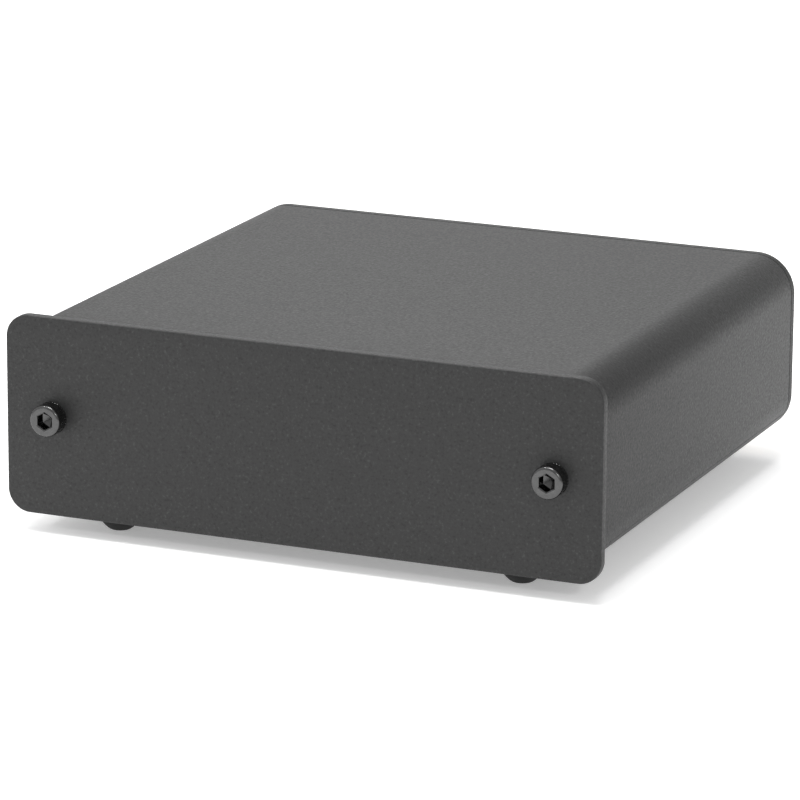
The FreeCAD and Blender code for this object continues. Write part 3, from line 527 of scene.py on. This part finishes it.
def makeThumbNut(size):
    # V notches round the rim: radius = min(profile, rim - depth * max(0, 2 * |2 * fraction - 1| - 1))
    low, high = boxOf("ground_thumb_nut")
    centre = ((low[0] + high[0]) / 2, low[1], (low[2] + high[2]) / 2)
    rim, length = size["rim"], high[1] - low[1]
    count = size["notches"]
    turn = fullTurn(count * size["stepsPerNotch"])
    away = np.abs(2 * ((turn * count / (2 * math.pi)) % 1) - 1)
    knurl = rim - size["notchDepth"] * np.clip(2 * away - 1, 0, 1)
    edge, bore, boreBreak = size["edge"], size["bore"], size["boreBreak"]
    collar, collarHeight, collarEdge = size["collarRadius"], size["collarHeight"], size["collarEdge"]
    profile = np.array([
        [bore + boreBreak, 0], [collar - collarEdge, 0], [collar, collarEdge], [collar, collarHeight],
        [rim - edge, collarHeight], [rim, collarHeight + edge], [rim, length - edge],
        [rim - edge, length], [bore + boreBreak, length], [bore, length - boreBreak], [bore, boreBreak],
    ])
    points = roundPoints(np.minimum(profile[:, :1], knurl), profile[:, 1:], turn, centre)
    nut = addSurface("groundThumbNut", points, "gold_plate", wrapRows=True, body="ground_thumb_knob")
    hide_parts("ground_thumb_nut")


makeGroundStud(studSize)
makeThumbNut(nutSize)
print("ground terminal made")


# Rubber feet

footSize = {
    "baseRadius": 4.2 * mm, "waistRadius": 3.3 * mm, "waistHeight": 1.5 * mm, "flatRadius": 1.5 * mm,
    "flatSpread": 0.6 * mm, "bendSteps": 10, "collarInset": 0.15 * mm, "collarDrop": 0.25 * mm,
    "topInset": 0.1 * mm, "topDrop": 0.05 * mm, "steps": 64,
}


def makeFoot(node, size):
    # a taper from the base down to a rounded contact face, turned about the vertical
    low, high = boxOf(node)
    centre = (low + high) / 2
    top = high[2] - low[2]
    flat, base = size["flatRadius"], size["baseRadius"]
    waist = (size["waistRadius"], size["waistHeight"])
    bend = roundOff((flat + size["flatSpread"], 0), (flat, 0), waist, size["bendSteps"])
    wall = [
        [base - size["collarInset"], top - size["collarDrop"]], [base, top - size["topDrop"]],
        [base - size["topInset"], top], [0, top],
    ]
    profile = np.concatenate([[[0, 0]], bend, wall])
    turn = fullTurn(size["steps"])
    x = centre[0] + profile[:, :1] * np.cos(turn)
    y = centre[1] + profile[:, :1] * np.sin(turn)
    z = low[2] + profile[:, 1:] + 0 * turn
    foot = addSurface(f"{node}Piece", np.stack([x, y, z], -1), "rubber")
    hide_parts(node)


for end in ("front", "rear"):
    for side in ("left", "right"):
        makeFoot(f"foot_{end}_{side}", footSize)
print("feet made")


# Camera, fitted to the photograph from the front plate

cameraSize = {
    "aside": 0.32353, "before": 0.71814, "above": 0.23852, "yaw": 23.0306, "pitch": 15.1472, "roll": -0.3832,
    "lens": 224.5, "sensor": 36.0, "clipNear": 0.05, "clipFar": 20,
}


def makeCamera(size):
    low = boxOf("front_panel")[0]
    place = Vector((size["aside"], low[1] - size["before"], low[2] + size["above"]))
    yaw, pitch, roll = (math.radians(size[key]) for key in ("yaw", "pitch", "roll"))
    forward = Vector((-math.sin(yaw) * math.cos(pitch), math.cos(yaw) * math.cos(pitch), -math.sin(pitch)))
    right = Vector((math.cos(yaw), math.sin(yaw), 0))
    down = forward.cross(right)
    rolledRight = math.cos(roll) * right + math.sin(roll) * down
    rolledDown = -math.sin(roll) * right + math.cos(roll) * down
    data = bpy.data.cameras.new("camera")
    data.lens, data.sensor_width = size["lens"], size["sensor"]
    data.clip_start, data.clip_end = size["clipNear"], size["clipFar"]
    camera = bpy.data.objects.new("camera", data)
    turn = Matrix((rolledRight, -rolledDown, -forward)).transposed()
    camera.matrix_world = Matrix.Translation(place) @ turn.to_4x4()
    bpy.context.scene.collection.objects.link(camera)
    bpy.context.scene.camera = camera


makeCamera(cameraSize)


# Floor and light

stageLook = {
    "floorWidth": 8.0, "floorColour": grey(0.9), "floorGlow": 0.31, "floorRoughness": 0.9, "floorShine": 0.1,
    "skyLeft": 0.95, "skyRight": 0.5, "skyReach": 0.7,
}
lamps = {
    "overheadLamp": {"place": (0.05, -0.2, 1.2), "aim": (0, 0, 0), "width": 0.45, "power": 7.6},
    "backLamp": {"place": (-0.24, 0.5, 0.6), "aim": (0, 0, 0.03), "width": 0.4, "power": 1.5},
    "glintLamp": {"place": (-0.5, -0.35, 1.1), "aim": (0, 0, 0.02), "width": 0.12, "power": 2},
    "sideLamp": {"place": (0.85, -0.95, 0.7), "aim": (0, 0, 0.02), "width": 0.14, "power": 3.2},
}


def makeFloor(look):
    half = look["floorWidth"] / 2
    mesh = bpy.data.meshes.new("floor")
    corners = [(-half, -half, 0), (half, -half, 0), (half, half, 0), (-half, half, 0)]
    mesh.from_pydata(corners, [], [(0, 1, 2, 3)])
    floor = bpy.data.objects.new("floor", mesh)
    bpy.context.scene.collection.objects.link(floor)
    material = newMaterial("paleFloor")[0]
    shader = material.node_tree.nodes["Principled BSDF"]
    shader.inputs["Base Color"].default_value = (*look["floorColour"], 1)
    shader.inputs["Roughness"].default_value = look["floorRoughness"]
    shader.inputs["Specular IOR Level"].default_value = look["floorShine"]
    shader.inputs["Emission Color"].default_value = (1, 1, 1, 1)
    shader.inputs["Emission Strength"].default_value = look["floorGlow"]
    mesh.materials.append(material)


def makeLamp(name, look):
    data = bpy.data.lights.new(name, "AREA")
    data.shape = "RECTANGLE"
    data.size = look["width"]
    data.size_y = look["width"]
    data.energy = look["power"]
    lamp = bpy.data.objects.new(name, data)
    lamp.location = look["place"]
    towards = Vector(look["aim"]) - Vector(look["place"])
    lamp.rotation_euler = towards.to_track_quat("-Z", "Y").to_euler()
    bpy.context.scene.collection.objects.link(lamp)


def makeWorld(look):
    # a pale studio, brighter on the left of the box than on its right
    world = bpy.data.worlds.new("studio")
    world.use_nodes = True
    tree = world.node_tree
    split = tree.nodes.new("ShaderNodeSeparateXYZ")
    tree.links.new(tree.nodes.new("ShaderNodeTexCoord").outputs["Generated"], split.inputs[0])
    reach = look["skyReach"]
    sky = addRange(tree, split.outputs["X"], look["skyLeft"], look["skyRight"], -reach, reach)
    tree.links.new(sky, tree.nodes["Background"].inputs["Strength"])
    tree.nodes["Background"].inputs["Color"].default_value = (1, 1, 1, 1)
    bpy.context.scene.world = world


makeFloor(stageLook)
makeWorld(stageLook)
for name, look in lamps.items():
    makeLamp(name, look)
bpy.context.scene.view_settings.view_transform = "Standard"
print("stage made")
